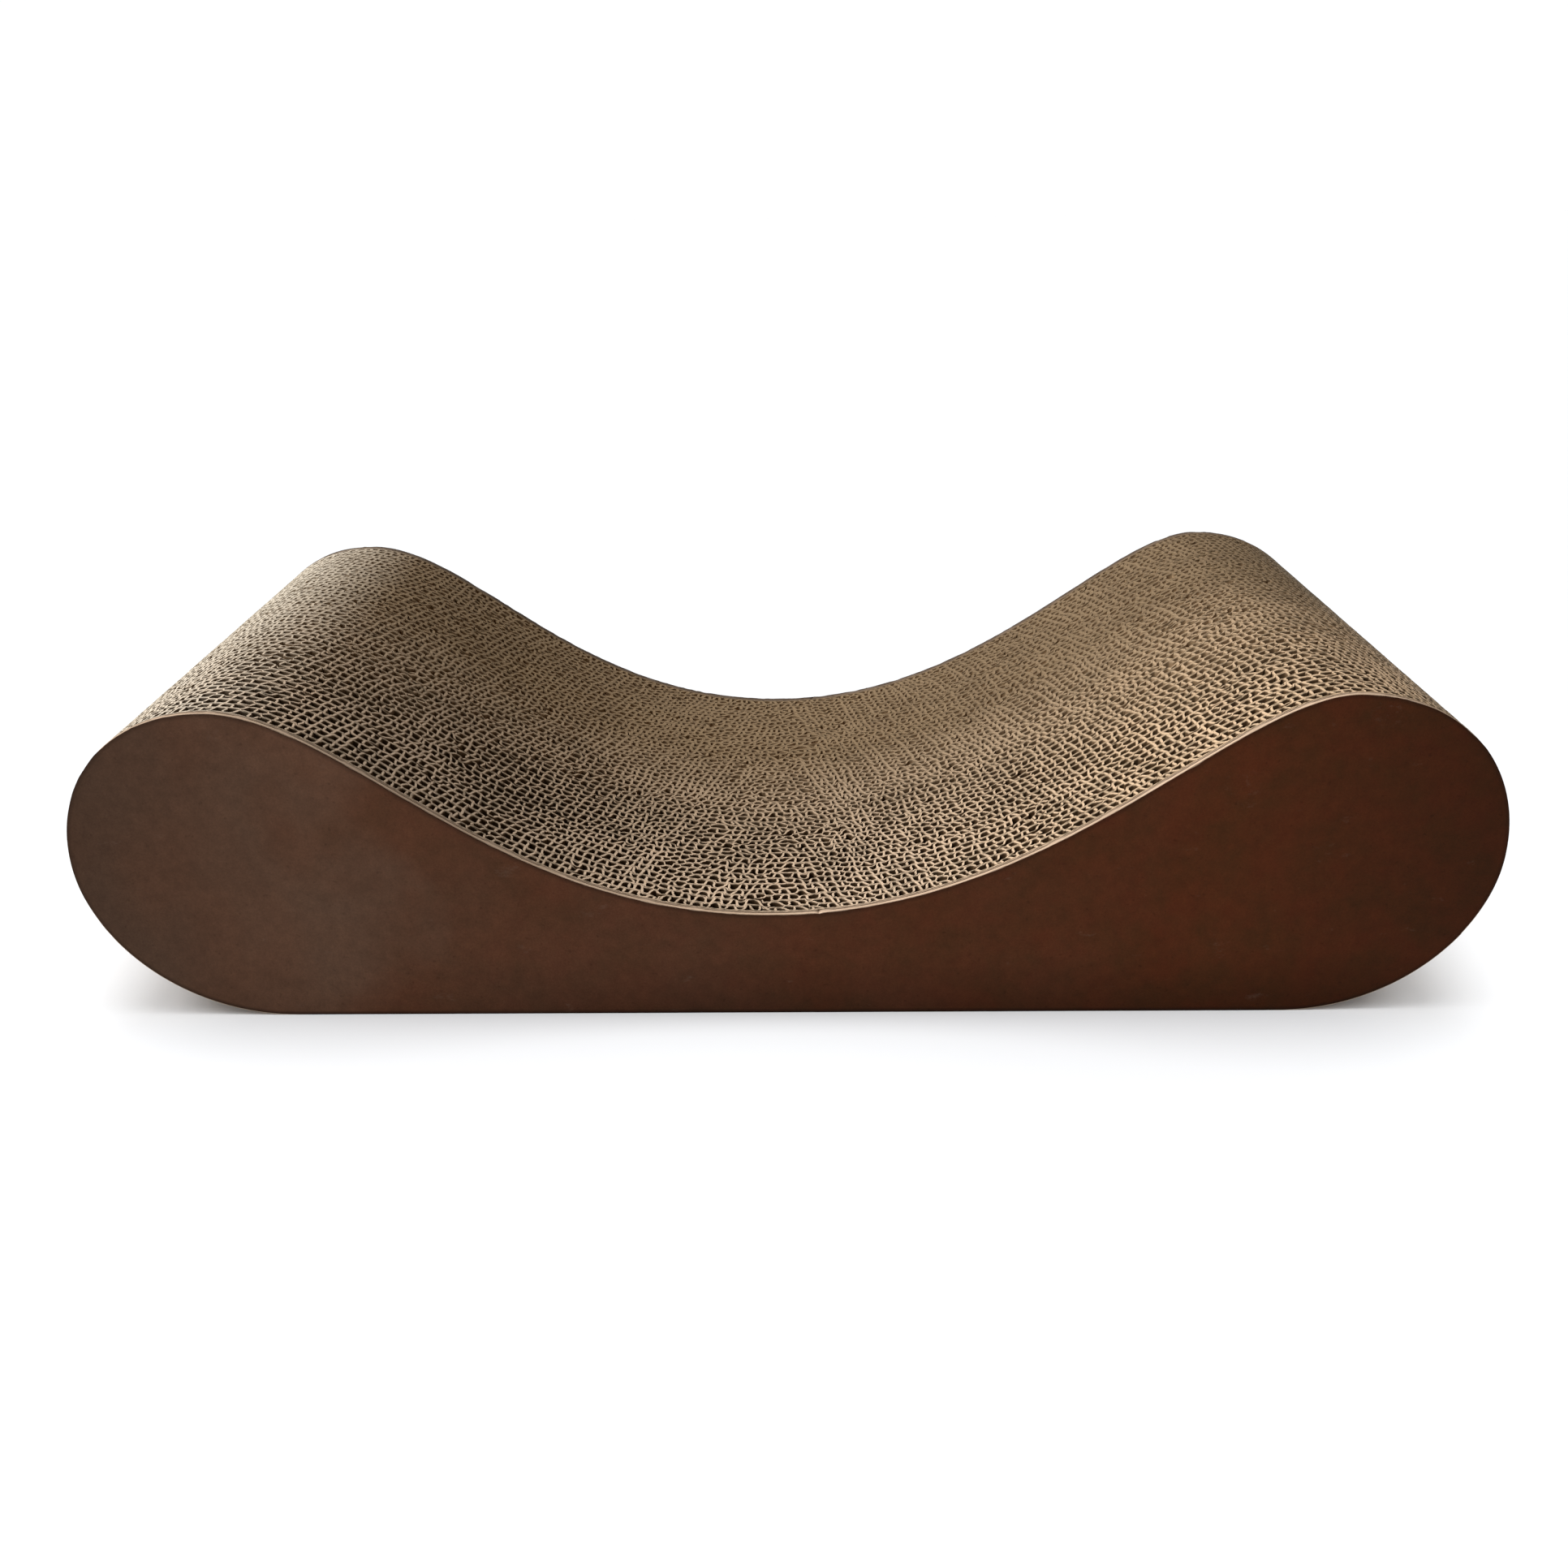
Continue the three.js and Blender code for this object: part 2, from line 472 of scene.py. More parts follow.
def wall_ends(sheet):
    """Places where the walls of a sheet leave its front and rear crests, and which run to the rear."""
    front, rear, runs_back = sheet_walls(sheet)
    slip = ROW_SLIP_LARGE if rng.random() < LARGE_SLIP_SHARE else ROW_SLIP
    moved = slip * along(row_slip[sheet], ROW_SLIP_KNOT, front)
    most = in_seat(front, WALL_LEAN)
    lean = np.abs(rng.normal(most, most)) / 2 * np.where(runs_back, 1, -1)
    to_crest = CREST_AT * (rear - front)
    front = apart(front + moved + to_crest - lean)
    rear = apart(rear + moved - to_crest + lean)
    inside = (np.abs(front) < FLUTE_REACH) & (np.abs(rear) < FLUTE_REACH)
    return front[inside], rear[inside], runs_back[inside]


def flute_line(sheet, age):
    """Plan of the fluted paper of a sheet, which swings between its two liners, and how far each
    point is on a wall."""
    front, rear, runs_back = wall_ends(sheet)
    x = np.stack([np.where(runs_back, front, rear), np.where(runs_back, rear, front)], 1)
    at_rear = np.stack([~runs_back, runs_back], 1)
    beside = x + np.array([-CELL_SIDE, CELL_SIDE])
    inset = LINER_GAP / 2 + liner_thickness(x, age) + flute_thickness(x, 0, age) / 2 - FLUTE_SINK
    y = np.where(at_rear, glue_line(sheet + 1, beside) - inset, glue_line(sheet, beside) + inset)
    points = round_corners(np.stack([x, y, at_rear.astype(float)], -1).reshape(-1, 3))
    on_wall = 4 * points[:, 2] * (1 - points[:, 2])
    per_wall = 2 ** (CORNER_PASSES + 1)
    bow = np.repeat(rng.normal(0, WALL_BOW, len(points) // per_wall + 1), per_wall)[: len(points)]
    points[:, 0] += bow * on_wall
    return points[:, :2], (WALL_RISE * on_wall).clip(0, 1)


# Strips of paper that stand on edge


def ragged(count):
    """How far a cut edge falls short of the outline, at that many places."""
    return np.abs(rng.normal(0, RAGGED, count)).clip(0, MOST_RAGGED)


def strip_rings(line, thickness, drop, cut_fade):
    """Corners of a strip along a line in plan, cut to the outline at its top and bottom."""
    count = len(line)
    heading = np.gradient(line, axis=0)
    normal = np.stack([heading[:, 1], -heading[:, 0]], 1)
    normal /= np.linalg.norm(normal, axis=1)[:, None]
    spread = rng.normal(0, THICKNESS_SPREAD, count).clip(-MOST_THICKNESS_SPREAD, MOST_THICKNESS_SPREAD)
    half = thickness / 2 * (1 + spread)
    ragged_top = drop + ragged(count)
    ragged_bottom = ragged(count)
    fray = rng.normal(0, FRAYED, count)[:, None] * normal
    rings = np.empty((count, RING, 3))
    for face, first, step in ((1, 0, 1), (-1, RING - 1, -1)):
        wall = line + face * half[:, None] * normal
        rim = wall + fray
        rim[:, 0] = rim[:, 0].clip(-REACH, REACH)
        wall[:, 0] = wall[:, 0].clip(-REACH, REACH)
        low = bottom_at(wall[:, 0]) + ragged_bottom
        high = np.maximum(top_at(rim[:, 0]) - ragged_top, low + END_TRIM)
        fade = np.minimum(cut_fade, (high - low) / TIP_FADES)
        for level, z in enumerate((low, low + fade, high - fade, high)):
            corner = first + step * level
            rings[:, corner, :2] = rim if z is high else wall
            rings[:, corner, 2] = z
    return rings


def strip_faces(count):
    """Quads round a strip of that many rings, and over its two ends."""
    ring = np.arange(count - 1)[:, None] * RING
    corner = np.arange(RING)[None, :]
    after = (corner + 1) % RING
    sides = np.stack([ring + corner, ring + RING + corner, ring + RING + after, ring + after], -1)
    level = np.arange(END_QUADS)
    end = np.stack([level, level + 1, RING - 2 - level, RING - 1 - level], 1)
    far_end = (count - 1) * RING + end[:, ::-1]
    return np.vstack([sides.reshape(-1, 4), end, far_end])


def strip_map(count, first_row, rows):
    """Places of the same quads in the bake map: the strip unrolled, in one or more rows."""
    width = 1 - 2 * MAP_MARGIN - MAP_ENDS
    height = 1 / MAP_ROWS - 2 * MAP_MARGIN
    per_row = math.ceil((count - 1) / rows)
    station = np.arange(count - 1)
    row = first_row + station // per_row
    left = MAP_MARGIN + width * (station % per_row) / per_row
    right = left + width / per_row
    rise = np.concatenate([[0], np.cumsum(RING_SHARES)]) / RING_SHARES.sum()
    v = (row / MAP_ROWS + MAP_MARGIN)[:, None] + height * rise[None, :]
    u = np.stack([left, right, right, left], 1)[:, None, :].repeat(RING, 1)
    v = np.stack([v[:, :-1], v[:, :-1], v[:, 1:], v[:, 1:]], -1)
    sides = np.stack([u, v], -1).reshape(-1, 4, 2)
    slot = np.arange(2 * END_QUADS)[:, None]
    begin, stop = END_SIDES
    end_u = 1 - MAP_ENDS + MAP_ENDS * np.array([[begin, stop, stop, begin]])
    in_slot = slot + END_FILL * np.array([[0, 0, 1, 1]])
    end_v = first_row / MAP_ROWS + MAP_MARGIN + height * in_slot / len(slot)
    return np.vstack([sides, np.stack(np.broadcast_arrays(end_u, end_v), -1)])


def strip_cuts(rings, cut_fade):
    """1 at the cut edges of a strip and 0 between them, where the shade of the cells is painted, except at
    its tips, where the edges meet.
    """
    height = rings[:, RING // 2 - 1, 2] - rings[:, 0, 2]
    at_tip = 1 - (height / (TIP_FADES * cut_fade)).clip(0, 1)
    return np.maximum(CUT_AT_CORNER, at_tip[:, None]).ravel()


# Corrugated sheets


def make_object(name, corners, faces, material, node, slot, **values):
    """A piece of the sofa: a mesh of quads that stands for a CAD node and rides with it."""
    mesh = bpy.data.meshes.new(name)
    mesh.vertices.add(len(corners))
    mesh.vertices.foreach_set("co", corners.astype(np.float32).ravel())
    mesh.loops.add(faces.size)
    mesh.loops.foreach_set("vertex_index", faces.astype(np.int32).ravel())
    mesh.polygons.add(len(faces))
    mesh.polygons.foreach_set("loop_start", np.arange(0, faces.size, 4, dtype=np.int32))
    mesh.update(calc_edges=True)
    for value_name, value in values.items():
        attribute = mesh.attributes.new(value_name, "FLOAT", "POINT")
        attribute.data.foreach_set("value", value.astype(np.float32))
    mesh.shade_smooth()
    mesh.set_sharp_from_angle(angle=SHARP_ANGLE)
    mesh.materials.append(material)
    piece = bpy.data.objects.new(name, mesh)
    bpy.context.scene.collection.objects.link(piece)
    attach(piece, "root")
    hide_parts(node)
    return piece


def corrugated_sheet(sheet, material):
    """One sheet of the stack: front liner, fluted paper and rear liner."""
    age = smooth(np.clip((sheet / SHEET_COUNT - REAR_FROM) / (REAR_UNTIL - REAR_FROM), 0, 1))
    cut_fade = CUT_FADE + (CUT_FADE_REAR - CUT_FADE) * age
    flute, on_wall = flute_line(sheet, age)
    flute_tint = CREST_TINT + (WALL_TINT - CREST_TINT) * on_wall
    drop = rng.uniform(0, SHEET_DROP)
    plies = (
        # plan, thickness, tint and drop, then first row and number of rows in the bake map
        (*liner(sheet, 1, age, drop), 0, 1),
        (flute, flute_thickness(flute[:, 0], on_wall, age), flute_tint, drop, 1, FLUTE_ROWS),
        (*liner(sheet + 1, -1, age, drop), 1 + FLUTE_ROWS, 1),
    )
    corners, faces, places, cuts, tints = [], [], [], [], []
    first = 0
    for line, thickness, tint, ply_drop, map_row, map_rows in plies:
        rings = strip_rings(line, thickness, ply_drop, cut_fade)
        count = len(rings)
        corners.append(rings.reshape(-1, 3))
        faces.append(strip_faces(count) + first)
        places.append(strip_map(count, map_row, map_rows))
        cuts.append(strip_cuts(rings, cut_fade))
        tints.append(np.repeat(tint + rng.normal(0, TINT_SPREAD), RING))
        first += count * RING
    corners = np.vstack(corners)
    worn = wear(corners)
    piece = make_object(
        f"corrugated_sheet_{sheet + 1:02d}",
        corners,
        np.vstack(faces),
        material,
        sheet_names[sheet],
        "corrugated_kraft",
        cut=np.concatenate(cuts),
        tint=np.concatenate(tints).clip(0, 1),
        age=age * worn,
        bleach=bleach(corners[:, 0]) * worn,
        wear=worn,
    )
    bake_map = piece.data.uv_layers.new(name="OFBake")
    bake_map.uv.foreach_set("vector", np.vstack(places).astype(np.float32).ravel())


# Boards and face papers


def outline_loop():
    """The closed outline, along the top from left to right and back along the bottom, and the
    directions that point out of it."""
    x = stations(PLATE_STATION)
    top = np.stack([x, top_at(x)], 1)
    bottom = np.stack([x, bottom_at(x)], 1)
    loop = np.vstack([top, bottom[::-1]])
    heading = np.roll(loop, -1, 0) - np.roll(loop, 1, 0)
    outward = np.stack([-heading[:, 1], heading[:, 0]], 1)
    outward /= np.linalg.norm(outward, axis=1)[:, None]
    return loop, outward


def along_loop(loop, spread, pitch):
    """Random values along the outline, the same above as below, with knots that far apart."""
    return along(rng.normal(0, spread, knot_count(pitch)), pitch, loop[:, 0])


def nick(loop):
    """Depth of a small nick in the upper edge of a board."""
    above = loop[:, 1] > bottom_at(loop[:, 0]) + NICK_DEPTH
    return NICK_DEPTH * np.exp(-(((loop[:, 0] - NICK_X) / NICK_WIDTH) ** 2)) * above


def rim_quads(ring_count, count):
    """Quads between the rings round a plate's edge."""
    ring = np.arange(ring_count - 1)[:, None] * count
    place = np.arange(count)[None, :]
    after = (place + 1) % count
    quads = np.stack([ring + place, ring + after, ring + count + after, ring + count + place], -1)
    return quads.reshape(-1, 4)


def inner_quads(first, count):
    """Quads over a plate's inner face, across the ring that starts with that corner."""
    step = np.arange(count // 2 - 1)
    upper = first + step
    lower = first + count - 1 - step
    return np.stack([upper, upper + 1, lower - 1, lower], 1)


def outer_face(ring, rows, next_corner, wave, inwards):
    """Corners and quads over a plate's outer face, between the two halves of its first ring."""
    half = len(ring) // 2
    upper = ring[:half]
    lower = ring[half:][::-1]
    share = np.linspace(0, 1, rows + 1)[1:-1, None, None]
    inner = upper[None] * (1 - share) + lower[None] * share
    across = np.sin(inner[..., 0] / PAPER_WAVE_X)
    bend = wave * across * np.sin(inner[..., 2] / PAPER_WAVE_Z + PAPER_WAVE_PHASE)
    inner[..., 1] += inwards * (wave + bend) * np.sin(np.pi * share[..., 0])
    grid = np.empty((rows + 1, half), int)
    grid[0] = np.arange(half)
    grid[1:-1] = next_corner + np.arange((rows - 1) * half).reshape(rows - 1, half)
    grid[-1] = 2 * half - 1 - np.arange(half)
    quads = np.stack([grid[:-1, :-1], grid[1:, :-1], grid[1:, 1:], grid[:-1, 1:]], -1)
    return inner.reshape(-1, 3), quads.reshape(-1, 4)


def plate(name, node, slot, material, profile, rows, wave=0, rough=0, short=0, **ring_values):
    """A thin plate cut to the outline. The profile gives the rings round its edge, from the
    middle of its outer face to its inner face, as pairs of inset and depth. Each of the ring
    values is an attribute, with one value per ring."""
    loop, outward = outline_loop()
    count = len(loop)
    low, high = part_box(node)
    is_front = low.y < 0
    outer, inwards = (low.y, 1) if is_front else (high.y, -1)
    roughness = np.abs(rng.normal(0, rough, (len(profile), count)))
    dashes = (GROOVE_MEAN + along_loop(loop, GROOVE_SPREAD, GROOVE_DASH)).clip(0, 1)
    shortness = np.abs(along_loop(loop, short, PAPER_UNEVEN_KNOT)) * (loop[:, 1] > PAPER_UNEVEN_ABOVE)
    nicks = nick(loop) * (rough > 0)
    grooves = ring_values.get("groove", [0] * len(profile))
    rings = []
    for (inset, depth), uneven, groove in zip(profile, roughness, grooves):
        inset = inset + uneven + nicks + GROOVE_DEPTH * groove * dashes + shortness
        edge = loop - inset[:, None] * outward
        rings.append(np.stack([edge[:, 0], np.full(count, outer + inwards * depth), edge[:, 1]], 1))
    face_corners, face_quads = outer_face(rings[0], rows, len(rings) * count, wave, inwards)
    last_ring = (len(rings) - 1) * count
    faces = np.vstack([rim_quads(len(rings), count), face_quads, inner_quads(last_ring, count)])
    if not is_front:
        faces = faces[:, ::-1]
    values = {}
    for key, per_ring in ring_values.items():
        around = np.outer(per_ring, dashes if key == "groove" else np.ones(count))
        values[key] = np.concatenate([around.ravel(), np.zeros(len(face_corners))])
    make_object(name, np.vstack([*rings, face_corners]), faces, material, node, slot, **values)


def rounded_rim(radius, depth):
    """Rings of a rim that is rounded on the outer side only."""
    turns = np.radians(RIM_TURNS)
    rings = [(radius * (1 - math.sin(a)), radius * (1 - math.cos(a))) for a in turns]
    return [*rings, (0, depth)]


def face_paper(name, node, material):
    """A face paper, with a shallow wave and a dark band along its slightly uneven edge."""
    low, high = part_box(node)
    rim = rounded_rim(PAPER_ROUNDING, high.y - low.y)
    plate(
        name,
        node,
        "face_paper",
        material,
        [(PAPER_BAND_END, 0), (PAPER_BAND, 0), *rim],
        PAPER_ROWS,
        wave=PAPER_WAVE,
        short=PAPER_UNEVEN,
        edge=[0, PAPER_BAND_SHADE] + [1] * len(rim),
    )


def panel_board(name, node, material, worn):
    """A board with a pale outer ply, a broken groove painted dark with shade and a duller inner ply. A worn
    board is soiled by handling, most of all on its outer ply."""
    low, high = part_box(node)
    depth = high.y - low.y
    rings = (
        # share of the depth, inset, groove, soil, soil when worn
        (0.00, BOARD_ROUNDING, 0, 0, 1),
        (0.05, BOARD_ROUNDING / 4, 0, 0, 1),
        (0.14, 0, 0, 0, 1),
        (0.26, BOARD_RIDGE, 0, 0, 1),
        (0.38, 0, 0, 0, 1),
        (0.50, BOARD_RIDGE, 0, 0.1, 0.95),
        (0.54, 0, 1, 0.3, 0.95),
        (0.66, 0, 1, 0.5, 0.9),
        (0.70, BOARD_RIDGE, 0, 0.5, 0.9),
        (0.84, 0, 0, 0.5, 0.85),
        (1.00, BOARD_ROUNDING, 0, 0.6, 0.8),
    )
    shares, insets, grooves, soils, worn_soils = zip(*rings)
    plate(
        name,
        node,
        "panel_board",
        material,
        [(inset, depth * share) for inset, share in zip(insets, shares)],
        BOARD_ROWS,
        rough=BOARD_ROUGH,
        groove=grooves,
        soil=worn_soils if worn else soils,
    )


# Materials

# Ranges of a noise between which a look changes: nearly all of its values, or only the usual ones
NOISE_WHOLE = (0.2, 0.8)
NOISE_MOST = (0.25, 0.75)
NOISE_USUAL = (0.3, 0.7)


class Shader:
    """A material under construction, with short ways to add its nodes."""

    def __init__(self, name):
        self.material = bpy.data.materials.new(name)
        self.material.use_nodes = True
        self.tree = self.material.node_tree
        self.surface = self.tree.nodes["Principled BSDF"]

    def node(self, kind, inputs=None, **settings):
        made = self.tree.nodes.new("ShaderNode" + kind)
        for key, value in settings.items():
            setattr(made, key, value)
        for key, value in (inputs or {}).items():
            self.put(value, made.inputs[key])
        return made

    def put(self, value, socket):
        if isinstance(value, bpy.types.NodeSocket):
            self.tree.links.new(value, socket)
        else:
            socket.default_value = value

    def place(self, stretch=(1, 1, 1)):
        """Object coordinates in metres, stretched along an axis by a factor below 1."""
        coordinates = self.node("TexCoord").outputs["Object"]
        return self.node("Mapping", {"Vector": coordinates, "Scale": stretch}).outputs["Vector"]

    def axes(self):
        """X, Y and Z of the place."""
        return self.node("SeparateXYZ", {"Vector": self.place()}).outputs.values()

    def noise(self, size, detail=2.0, stretch=(1, 1, 1), rough=0.5):
        """Even noise from 0 to 1, with features of that size in metres."""
        inputs = {"Vector": self.place(stretch), "Scale": 1 / size, "Detail": detail, "Roughness": rough}
        return self.node("TexNoise", inputs).outputs["Fac"]

    def value(self, name):
        return self.node("Attribute", attribute_name=name).outputs["Fac"]

    def maths(self, operation, a, *others):
        """The operation on the first value and the next, then on the result and the one after it."""
        for b in others or (0.0,):
            a = self.node("Math", {0: a, 1: b}, operation=operation).outputs["Value"]
        return a

    def spread(self, value, low, high, to_low=0.0, to_high=1.0):
        """The value between low and high, stretched to another range and held at its ends."""
        inputs = {"Value": value, "From Min": low, "From Max": high, "To Min": to_low, "To Max": to_high}
        return self.node("MapRange", inputs).outputs["Result"]

    def mix(self, share, a, b, blend="MIX"):
        made = self.node("Mix", data_type="RGBA", blend_type=blend)
        self.put(share, made.inputs["Factor"])
        for socket, value in zip([s for s in made.inputs if s.type == "RGBA"], (a, b)):
            self.put((*value, 1) if isinstance(value, tuple) else value, socket)
        return [s for s in made.outputs if s.type == "RGBA"][0]

    def toned(self, colour, tone):
        """The colour, brighter or darker by a factor."""
        grey = self.node("CombineColor", {0: tone, 1: tone, 2: tone}).outputs["Color"]
        return self.mix(1.0, colour, grey, "MULTIPLY")

    def finish(self, colour, roughness, specular, height, bump_depth, bump_strength):
        self.put(colour, self.surface.inputs["Base Color"])
        self.put(roughness, self.surface.inputs["Roughness"])
        self.surface.inputs["Specular IOR Level"].default_value = specular
        bump = self.node("Bump", {"Height": height, "Distance": bump_depth, "Strength": bump_strength})
        self.put(bump.outputs["Normal"], self.surface.inputs["Normal"])
        return self.material


# Kraft of the corrugated sheets

CUT_PALE = (0.655, 0.485, 0.338)
CUT_DARK = (0.20, 0.15, 0.098)
CUT_POWER = 1.2  # how fast the look of a cut edge gives way to the painted shade of the cells below it
# Paper down in the cells, painted dark with the shade that falls there
SHADED_KRAFT_PALE = (0.105, 0.058, 0.026)
SHADED_KRAFT_DARK = (0.05, 0.026, 0.011)
KRAFT_BLOTCHED = 0.25  # how far blotches, fibres and specks change the shade
KRAFT_FIBROUS = 0.25
KRAFT_SPECKLED = 0.3
KRAFT_ROUGHNESS = (0.82, 0.98)
GREY_FIBRE = (0.50, 0.43, 0.34)
GREY_FIBRE_FROM = (0.6, 0.8)  # values of the noise where the fibres turn grey
GREY_FIBRE_SHARE = 0.5
AGED_CUT = (0.23, 0.157, 0.088)
AGED_DARK = (0.15, 0.1, 0.056)
AGED_KRAFT = (0.45, 0.30, 0.165)
AGED_FROM = (-108 * MM, 45 * MM)  # where the cut edges turn dull, from front to rear
AGED_LEFT = (1.35, 1.33, 1.3)  # tones of the rear on both slopes
AGED_RIGHT = (0.88, 0.87, 0.86)
AGED_SLOPES = (-150 * MM, 100 * MM)
AGED_HUMP = 0.84  # tone of the left hump
AGED_HUMP_FROM = (-170 * MM, -225 * MM)
DUSTY = 0.4  # how far the cells on both humps are dulled like those at the rear
DUSTY_FROM = (110 * MM, 190 * MM)
DUSTY_BEHIND = (-110 * MM, -50 * MM)
WARM = (0.91, 0.87, 0.79)  # tone of the right half
WARM_FROM = (40 * MM, 160 * MM)
# Painted sheen on the humps, over the cut edges and down in the cells
SHEEN_CUT = (0.80, 0.72, 0.59)
SHEEN_CUT_SHARE = 0.7
SHEEN_KRAFT = (0.34, 0.275, 0.2)
SHEEN_KRAFT_SHARE = 0.8


def kraft_material():
    """Corrugated kraft: pale fuzzy cut edges over paper painted dark with the shade of the cells, with
    fibres, blotches and a painted sheen on the humps.
    """
    s = Shader("corrugated_kraft")
    x, y, _ = s.axes()
    worn = s.value("wear")
    sheen = s.value("bleach")
    blotch = s.noise(size=24 * MM, detail=3)
    fibre = s.noise(size=0.55 * MM, detail=3, stretch=(1, 1, 0.4))
    speck = s.noise(size=2.6 * MM)
    shade = s.value("tint")
    for texture, change in ((blotch, KRAFT_BLOTCHED), (fibre, KRAFT_FIBROUS), (speck, KRAFT_SPECKLED)):
        shade = s.maths("ADD", shade, s.spread(texture, *NOISE_USUAL, -change, change))
    edge = s.mix(shade, CUT_DARK, CUT_PALE)
    edge = s.mix(s.spread(fibre, *GREY_FIBRE_FROM, 0, GREY_FIBRE_SHARE), edge, GREY_FIBRE)
    edge = s.mix(s.spread(x, *WARM_FROM), edge, WARM, "MULTIPLY")
    slopes = s.mix(s.spread(x, *AGED_SLOPES), AGED_LEFT, AGED_RIGHT)
    aged = s.mix(1.0, s.mix(shade, AGED_DARK, AGED_CUT), slopes, "MULTIPLY")
    aged = s.toned(aged, s.spread(x, *AGED_HUMP_FROM, 1, AGED_HUMP))
    edge = s.mix(s.maths("MULTIPLY", worn, s.spread(y, *AGED_FROM)), edge, aged)
    # painted sheen: paler cut edges on the left hump and the right end
    edge = s.mix(s.maths("MULTIPLY", sheen, SHEEN_CUT_SHARE), edge, SHEEN_CUT)
    # painted shade of the deep cells, which gives way to a paler brown at the rear
    inside = s.mix(s.value("age"), s.mix(shade, SHADED_KRAFT_DARK, SHADED_KRAFT_PALE), AGED_KRAFT)
    on_humps = s.spread(s.maths("ABSOLUTE", x), *DUSTY_FROM, 0, DUSTY)
    dusty = s.maths("MULTIPLY", on_humps, s.spread(y, *DUSTY_BEHIND), worn)
    inside = s.mix(dusty, inside, AGED_KRAFT)
    # painted sheen in the cells there too
    inside = s.mix(s.maths("MULTIPLY", sheen, SHEEN_KRAFT_SHARE), inside, SHEEN_KRAFT)
    cut = s.maths("POWER", s.value("cut"), CUT_POWER)
    colour = s.mix(cut, inside, edge)
    roughness = s.spread(fibre, *NOISE_WHOLE, *KRAFT_ROUGHNESS)
    return s.finish(colour, roughness, specular=0.15, height=fibre, bump_depth=0.12 * MM, bump_strength=0.5)


# Solid board

BOARD_PALE = (0.67, 0.49, 0.35)
BOARD_DARK = (0.44, 0.31, 0.21)
# painted shade in the board's groove
BOARD_GROOVE_SHADE = (0.05, 0.03, 0.017)
BOARD_SOIL = (0.05, 0.032, 0.019)
BOARD_SOIL_SHARE = 0.9
PLY_SHADES = (0, 0.6)  # how far plies, tears and blotches change the shade
TEAR_SHADES = (-0.2, 0.3)
BLOTCH_SHADES = (-0.1, 0.2)
BOARD_ROUGHNESS = (0.8, 0.96)


def board_material():
    """Solid board: fine plies along its raw edge, with short fibres torn by the cut."""
    s = Shader("panel_board")
    ply = s.noise(size=0.5 * MM, stretch=(0.02, 1, 0.02))
    tear = s.noise(size=0.8 * MM, detail=3, stretch=(0.35, 1, 0.35))
    blotch = s.noise(size=14 * MM)
    textures = ((ply, PLY_SHADES), (tear, TEAR_SHADES), (blotch, BLOTCH_SHADES))
    shade = s.maths("ADD", *[s.spread(texture, *NOISE_USUAL, *shades) for texture, shades in textures])
    colour = s.mix(shade, BOARD_DARK, BOARD_PALE)
    colour = s.mix(s.maths("MULTIPLY", s.value("soil"), BOARD_SOIL_SHARE), colour, BOARD_SOIL)
    # painted shade in the groove
    colour = s.mix(s.value("groove"), colour, BOARD_GROOVE_SHADE)
    roughness = s.spread(tear, *NOISE_WHOLE, *BOARD_ROUGHNESS)
    return s.finish(colour, roughness, specular=0.15, height=tear, bump_depth=0.1 * MM, bump_strength=0.4)


# Face paper

BROWN = (0.074, 0.0215, 0.0078)
BROWN_RED = (0.082, 0.0213, 0.0077)
BROWN_OLIVE = (0.068, 0.0237, 0.0081)
INK_PATCHES = (0.38, 0.62)  # values of the noise between olive and red ink
INK_MOTTLE = (0.35, 0.65)
INK_MOTTLE_SHARE = 0.5
# Painted reflection: a paler, greyer veil over the left end of the paper
REFLECTION = (0.111, 0.0535, 0.0315)
REFLECTION_GREY = (0.101, 0.0545, 0.034)
REFLECTION_PATCHES = (0.4, 0.6)  # values of the noise between a greyer and a browner painted reflection
REFLECTION_CLOUD = 50 * MM  # how ragged the border of the painted reflection is
REFLECTION_SLOW = (190 * MM, -170 * MM)  # over this stretch towards the left the painted reflection grows to half, and over the next to all of it
REFLECTION_FAST = (-160 * MM, -225 * MM)
REFLECTION_HALF = 0.5
MOTTLE_TONES = (0.86, 1.14)
PATCH_TONES = (0.95, 1.05)
GRAIN_TONES = (0.88, 1.12)
SPECK_FROM = (0.69, 0.78)  # values of the noise that make a dark speck
SPECK_TONE = 0.8
FOOT_SHADE = 0.38  # painted shadow: how much darker the paper is at the floor
FOOT_SHADE_HEIGHT = 30 * MM
FOOT_SHADE_FROM = (-180 * MM, -50 * MM)
FOOT_SHADE_LEFT = 0.15  # share of that shade at the left end
END_SHADE = 0.57  # painted shade: tone of the right end
END_SHADE_FROM = (190 * MM, 300 * MM)
# painted shade at the left end
LEFT_SHADE = 0.68
LEFT_SHADE_FROM = (-300 * MM, -205 * MM)
EDGE_DARK_AND_SHADOW = (0.010, 0.005, 0.003)
EDGE_HEIGHTS = (5 * MM, 40 * MM)  # the dark edge is strong at the floor, where it is painted contact shadow, and weak along the top
EDGE_SHARES = (0.95, 0.45)
SCUFF = (0.16, 0.10, 0.075)
SCUFF_SHARE = 0.3
FLAW_FROM = (0.64, 0.78)  # values of the noises that make a scuff
SCRATCH_FROM = (0.56, 0.7)
SCRATCHED = ((-231 * MM, 137 * MM), (247 * MM, 143 * MM), (190 * MM, 108 * MM))  # X and Z of scratches
SCRATCHED_Y = -132.6 * MM
SCRATCHED_REACH = 10 * MM
RAW_EDGE = (0.50, 0.38, 0.28)  # where the paper's lower corner is rubbed to the bare board
RAW_FROM = (212 * MM, 226 * MM)
RAW_UNTIL = (45 * MM, 60 * MM)
RAW_RIM = (0.9, 1)  # how near to the very edge it is rubbed
PAPER_ROUGHNESS = (0.5, 0.62)


